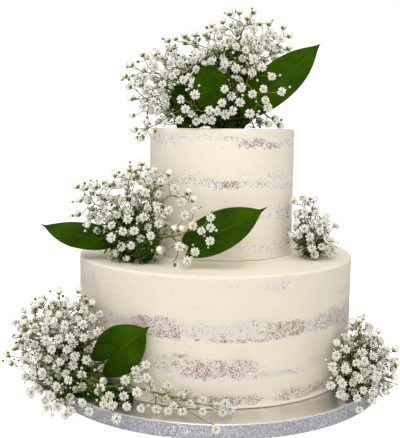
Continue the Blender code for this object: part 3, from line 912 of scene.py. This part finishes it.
def bunch(name, gather, spacing, seed, near=(), rim=(), bare=(), core=(0.4, 0.4, 0.4), foliage=0, tangle=0,
          airy=0.35, shift=0.0):
    """A bunch out to its CAD outline: blossoms, cups, buds and bracts on forking stalks.

    near and rim list, for a depth in millimetres, the places (x, z) of blossoms that
    face forward and of half-open ones at the edge. bare lists (x, x, z, z) windows of
    the front that get no others. airy is how much wider apart the farthest ones are.
    core is the share of the bunch taken by the crowded middle, a dark mass of painted shade, and shift is
    how far along x it stands. foliage is how many bracts are tried on it, and tangle how many loose twigs.
    """
    draw = random.Random(seed)
    node = f"bunch_{name}"
    heart = Vector(gather)
    span = max((v.co - heart).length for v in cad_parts[node].data.vertices)
    heads = []

    def hidden_front(point):
        return any(a < point.x / MM < b and c < point.z / MM < d and point.y < heart.y + 22 * MM
                   for a, b, c, d in bare)

    def settle(point, normal, apart, need, edge):
        if hidden_front(point):
            return
        if not room_at(point, need):
            return
        apart *= 1 + airy * ((point - heart).length / span - 0.5)
        if all((point - head[0]).length > apart for head in heads):
            away = (point - heart).normalized()
            front = Vector((0, 1 if normal.y > 0.45 else -1, 0.1))
            loose = scatter(draw, 0.3)
            facing = away * 0.7 + front * 0.5 if edge else normal * 0.25 + away * 0.25 + front
            heads.append((point, (facing + loose).normalized(), edge and draw.random() < 0.7))

    for depth, places in near:
        for x, z in places:
            lean = Vector((draw.uniform(-0.25, 0.25), -1, draw.uniform(-0.1, 0.3)))
            heads.append((Vector((x, depth + draw.uniform(-1.5, 1.5), z)) * MM, lean.normalized(), False))
    for depth, places in rim:
        for x, z in places:
            place = Vector((x, depth + draw.uniform(-9, 9), z)) * MM
            facing = (place - heart).normalized() + Vector((0, draw.uniform(0.6, 1.3), 0))
            heads.append((place, facing.normalized(), True))
    for point, normal in surface_points(node, OUTER_TRIES, draw):
        edge = abs(normal.y) < 0.5
        sunk = draw.uniform(0.5, 8.0) if edge else draw.uniform(0.5, 5.0)
        settle(point - normal * sunk * MM, normal, spacing * draw.uniform(0.92, 1.25), OUTER_ROOM, edge)
    for low, high in ((0.66, 0.86), (0.44, 0.62)):
        for point, normal in surface_points(node, INNER_TRIES, draw):
            deep = heart + (point - heart) * draw.uniform(low, high)
            settle(deep, normal, spacing * 1.05, INNER_ROOM, False)

    petals, stalks, buds = [], [], []

    def stalk(route, thick, thin_end):
        for point in route:
            point.z = resting_height(point, 2 * thick)
        points, faces = stalk_lump(route, thick, thin_end)
        out_of_heart_share = np.clip(np.linalg.norm(points - np.array(tuple(heart)), axis=1) / HEART_SHADE_REACH, 0, 1)
        stalks.append((points, faces, [0] * len(faces), out_of_heart_share))

    def flower(root, leaving, where, facing, shut):
        scale = draw.uniform(0.86, 1.08)
        shape = draw.choice(round_blossoms if shut else open_blossoms)
        petals.append(set_down(shape, where, facing, draw.uniform(0, math.tau), scale))
        cup = round_cup if shut else open_cup
        stalks.append(set_down(cup, where, facing, draw.uniform(0, math.tau), scale))
        neck = where - facing * (3.0 if shut else 2.4) * MM * scale
        twig = bent(root, neck, leaving, facing, 4)
        stalk(twig, 0.36 * MM, 0.29 * MM)
        for _ in range(draw.choice((0, 0, 1, 1, 2))):
            side = facing.cross(scatter(draw, 1)).normalized()
            perch = where + side * draw.uniform(4.5, 8.0) * MM + facing * draw.uniform(-3, 2.0) * MM
            if room_at(perch, 2.2 * MM):
                grown = (facing + side * 0.8).normalized()
                size = draw.uniform(0.55, 1.1)
                buds.append(set_down(round_bud, perch, grown, draw.uniform(0, math.tau), size))
                under = perch - grown * 1.2 * MM * size
                stalk(bent(twig[2], under, side + facing, grown, 3), 0.28 * MM, 0.22 * MM)

    def grow(group, root, leaving):
        """Forks a stem towards two halves of its blossoms, down to one or two a stem."""
        if len(group) <= 2:
            for where, facing, shut in group:
                flower(root, (leaving + (where - root).normalized()).normalized(), where, facing, shut)
            return
        for part in parted(group, draw):
            middle = sum((head[0] for head in part), Vector()) / len(part)
            share = draw.uniform(0.40, 0.55)
            fork = root + (middle - root) * share
            ahead = (middle - root).normalized()
            thick = (0.29 + 0.055 * math.sqrt(len(part))) * MM
            stalk(bent(root, fork, leaving + ahead, ahead, 4), thick * 1.1, thick)
            if len(part) > 3:
                facing = ahead + scatter(draw, 0.9)
                size = draw.uniform(0.5, 1.1)
                stalks.append(set_down(bract, fork, facing.normalized(), draw.uniform(0, math.tau), size))
            grow(part, fork, ahead)

    grow(heads, heart, Vector((0, 0, 1)))

    foot = Vector((heart.x + shift, heart.y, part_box(node)[0].z + 0.5 * MM))
    for point, normal in surface_points(node, foliage, draw):
        root = foot + Vector((point[i] - foot[i]) * core[i] * draw.uniform(0.9, 1.15) for i in range(3))
        lifted = (normal + scatter(draw, 0.6) + Vector((0, 0, 0.5))).normalized()
        if room_at(root + lifted * 8 * MM, 1.0 * MM):
            stalks.append(set_down(bract, root, lifted, draw.uniform(0, math.tau), draw.uniform(0.7, 1.5)))
    for point, normal in surface_points(node, tangle, draw):
        root = heart + (point - heart) * draw.uniform(0.30, 0.72)
        ahead = ((point - heart).normalized() + scatter(draw, 0.9)).normalized()
        end = root + ahead * draw.uniform(7, 14) * MM
        if room_at(end, 1.0 * MM) and room_at(root, 1.0 * MM) and not (bare and hidden_front(end)):
            stalk(bent(root, end, point - heart, ahead, 2), 0.36 * MM, 0.26 * MM)

    blossoms = many(f"blossoms_{name}", petals, [petal_white, eye_green])
    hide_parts(node)
    many(f"stalks_{name}", stalks, [stalk_green])
    many(f"buds_{name}", buds, [bud_cream, stalk_green])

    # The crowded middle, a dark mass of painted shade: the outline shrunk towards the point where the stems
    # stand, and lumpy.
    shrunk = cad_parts[node].data
    points = [foot + Vector((v.co[i] - foot[i]) * core[i] for i in range(3)) for v in shrunk.vertices]
    mass = solid_mesh(f"core_{name}", points, [p.vertices for p in shrunk.polygons], [core_shade_green])
    lumpy = mass.modifiers.new("lumpy", "REMESH")
    lumpy.mode = "VOXEL"
    lumpy.voxel_size = CORE_VOXEL
    depsgraph = bpy.context.evaluated_depsgraph_get()
    grown_mesh = bpy.data.meshes.new_from_object(mass.evaluated_get(depsgraph))
    mass.modifiers.clear()
    mass.data = grown_mesh
    for vertex in mass.data.vertices:
        rise = min(1.0, (vertex.co.z - foot.z) / (4 * MM))
        vertex.co += vertex.normal * noise.noise(vertex.co / (5 * MM)) * 3.0 * MM * rise
        vertex.co.z = resting_height(vertex.co, 0.1 * MM)
    mass.data.shade_smooth()
    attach(mass, "root")


bunch("top", (0.0, -0.022, 0.240), 9.4 * MM, 21,
      near=[(-58, [(45, 271), (53, 259), (38, 261), (40, 252), (29, 257), (20, 262), (19, 250), (27, 241),
                   (42, 246), (12, 255), (-21, 240), (-26, 244), (-30, 252), (-4, 235), (-11, 236),
                   (-17, 234), (-28, 268), (-20, 264), (-37, 271), (-45, 264), (7, 240), (13, 243),
                   (-31, 235)]),
            (-69, [(6, 260), (4, 249), (0, 242), (-6, 243), (-18, 255)]),
            (-50, [(4, 299), (15, 296), (-5, 284), (6, 281), (15, 278), (-14, 289), (-18, 277), (30, 286),
                   (29, 275), (23, 293), (37, 279), (-2, 309), (28, 303)]),
            (-36, [(53, 304), (44, 309), (35, 296), (37, 303), (46, 298), (30, 312)])],
      rim=[(-28, [(-66, 292), (-54, 291), (-74, 282), (-80, 273), (-77, 264), (-74, 253), (-73, 239),
                  (-71, 227), (-65, 220), (-43, 304), (-36, 304), (-29, 308), (-20, 309), (-11, 309),
                  (-5, 317), (4, 320), (10, 327), (18, 326), (30, 327), (25, 322), (36, 318), (43, 317),
                  (56, 315), (62, 309), (61, 298), (50, 238), (55, 232), (44, 233), (-42, 238),
                  (-55, 225)])],
      bare=[(-44, 60, 225, 262)], core=(0.52, 0.5, 0.72), foliage=900, tangle=1900, airy=0.6)
bunch("shelf_left", (-0.055, -0.066, 0.130), 9.2 * MM, 22,
      near=[(-98, [(-4, 159), (-4, 151), (-11, 148), (-4, 140), (-16, 131), (-22, 124), (-18, 152),
                   (-28, 135)]),
            (-82, [(-41, 187), (-28, 169), (-38, 162), (-17, 162), (-46, 151), (-33, 180), (-25, 158)])],
      rim=[(-80, [(-113, 181), (-106, 179), (-110, 170), (-98, 181), (-60, 200), (-70, 195), (-82, 191),
                  (-114, 157), (-38, 192), (-23, 176), (-18, 171), (-31, 118), (-34, 148), (-28, 147),
                  (-46, 130)])],
      bare=[(-46, 10, 118, 200)], core=(0.44, 0.5, 0.54), foliage=380, tangle=420, airy=0.3,
      shift=-22 * MM)
bunch("shelf_right", (0.083, -0.036, 0.122), 8.6 * MM, 23,
      core=(0.38, 0.4, 0.36), foliage=120, tangle=120, airy=0.2)
bunch("foot_left", (-0.115, -0.088, 0.030), 9.2 * MM, 24,
      near=[(-126, [(-52, 48), (-60, 43), (-51, 38), (-68, 35), (-58, 36), (-48, 29), (-25, 23),
                    (-21, 27), (-37, 21), (-35, 32)]),
            (-134, [(-58, 29), (-68, 26), (-79, 25), (-30, 18), (-43, 16), (-18, 21), (-8, 23),
                    (3, 18), (9, 21), (13, 16)]),
            (-138, [(-112, 11), (-94, 14), (-108, 15), (-126, 17), (-118, 18), (-138, 28), (-99, 21),
                    (-123, 26)]),
            (-141, [(-82, 22), (-76, 21), (-65, 20), (-54, 19), (-34, 17), (-23, 17), (-8, 17), (7, 17)]),
            (-146, [(-72, 12)]), (-160, [(2, 12)])],
      rim=[(-92, [(-169, 43), (-164, 38), (-161, 51), (-159, 59), (-153, 71), (-144, 83), (-139, 89),
                  (-126, 96), (-111, 96), (-156, 37), (-154, 23), (-151, 10)])],
      bare=[(-83, 30, 0, 60)], core=(0.40, 0.42, 0.56), foliage=380, tangle=700, airy=0.3)
bunch("foot_right", (0.120, -0.070, 0.026), 9.0 * MM, 25,
      near=[(-112, [(96, 53), (93, 44), (101, 31), (100, 22), (103, 42), (114, 35), (111, 48), (118, 48),
                    (113, 19), (115, 10), (125, 25), (125, 17), (118, 25), (128, 38), (92, 29)])],
      rim=[(-76, [(114, 70), (121, 70), (131, 62), (137, 61), (150, 48), (151, 37), (149, 25)])],
      core=(0.42, 0.5, 0.50), foliage=300, tangle=300, airy=0.3)

# ---------------------------------------------------------------- table and light
# The cake stands on a plain white cloth. Soft panels light it from high in front,
# from above, from low in front and weakly from each side, in a pale room.

# White cloth, which glows a little for the camera's rays only, so that it stays
# even and white and lights nothing from below.
table_white, tree, shader = two_tone("table_white", 0.25, 1.0, "#f6f6f6", "#fafafa", Roughness=0.9)
shader.inputs["Emission Color"].default_value = (1, 1, 1, 1)
straight = add(tree, "ShaderNodeLightPath").outputs["Is Camera Ray"]
glow = maths(tree, "MULTIPLY", straight, 0.72)
feed(tree, shader, Emission_Strength=glow)
TABLE_REACH = 6.0
table = solid_mesh("table", [(-TABLE_REACH, -TABLE_REACH, 0), (TABLE_REACH, -TABLE_REACH, 0),
                             (TABLE_REACH, TABLE_REACH, 0), (-TABLE_REACH, TABLE_REACH, 0)],
                   [(0, 1, 2, 3)], [table_white])
table.location.z = -0.5 * MM


def soft_panel(name, where, target, size, watts):
    """A square soft light that points at a target."""
    light = bpy.data.lights.new(name, "AREA")
    light.shape = "SQUARE"
    light.size = size
    light.energy = watts
    lamp = bpy.data.objects.new(name, light)
    lamp.location = where
    lamp.rotation_euler = (Vector(target) - Vector(where)).to_track_quat("-Z", "Y").to_euler()
    bpy.context.scene.collection.objects.link(lamp)


cake_middle = (0, 0, 0.16)
# Each panel's name, place, target, width in metres and watts.
soft_panel("front_panel", (-0.15, -1.20, 1.50), cake_middle, 1.1, 12.7)
soft_panel("top_panel", (0.0, -0.15, 1.9), cake_middle, 1.2, 7.5)
soft_panel("low_panel", (0.0, -1.9, 0.45), cake_middle, 0.9, 4.6)
soft_panel("left_panel", (-1.6, -0.5, 0.9), cake_middle, 0.9, 2.3)
soft_panel("right_panel", (1.6, -0.5, 0.9), cake_middle, 0.9, 1.5)

# The room: white to the eye behind the cake, and a weaker even fill for the shadows.
world = bpy.data.worlds.new("pale_room")
world.use_nodes = True
bpy.context.scene.world = world
room_tree = world.node_tree
room_tree.nodes.clear()
fill = add(room_tree, "ShaderNodeBackground", {"Color": (1, 1, 1, 1), "Strength": 0.44})
backdrop = add(room_tree, "ShaderNodeBackground", {"Color": (1, 1, 1, 1), "Strength": 1.05})
seen = add(room_tree, "ShaderNodeLightPath").outputs["Is Camera Ray"]
sky = add(room_tree, "ShaderNodeMixShader", {0: seen, 1: fill.outputs[0], 2: backdrop.outputs[0]})
add(room_tree, "ShaderNodeOutputWorld", {"Surface": sky.outputs[0]})
bpy.context.scene.view_settings.view_transform = "Standard"

# The camera stands 0.66 m from the cake's axis, 225 mm up, and looks down 7 degrees.
camera = bpy.data.cameras.new("camera")
camera.sensor_width = 36
camera.lens = 58.7
camera.clip_start = 0.05
eye = bpy.data.objects.new("camera", camera)
eye.matrix_world = (Matrix.Translation((0, -0.6556, 0.2253)) @ Matrix.Rotation(0.022, 4, "Z")
                    @ Matrix.Rotation(math.pi / 2 - 0.121, 4, "X") @ Matrix.Rotation(0.010, 4, "Z"))
bpy.context.scene.collection.objects.link(eye)
bpy.context.scene.camera = eye
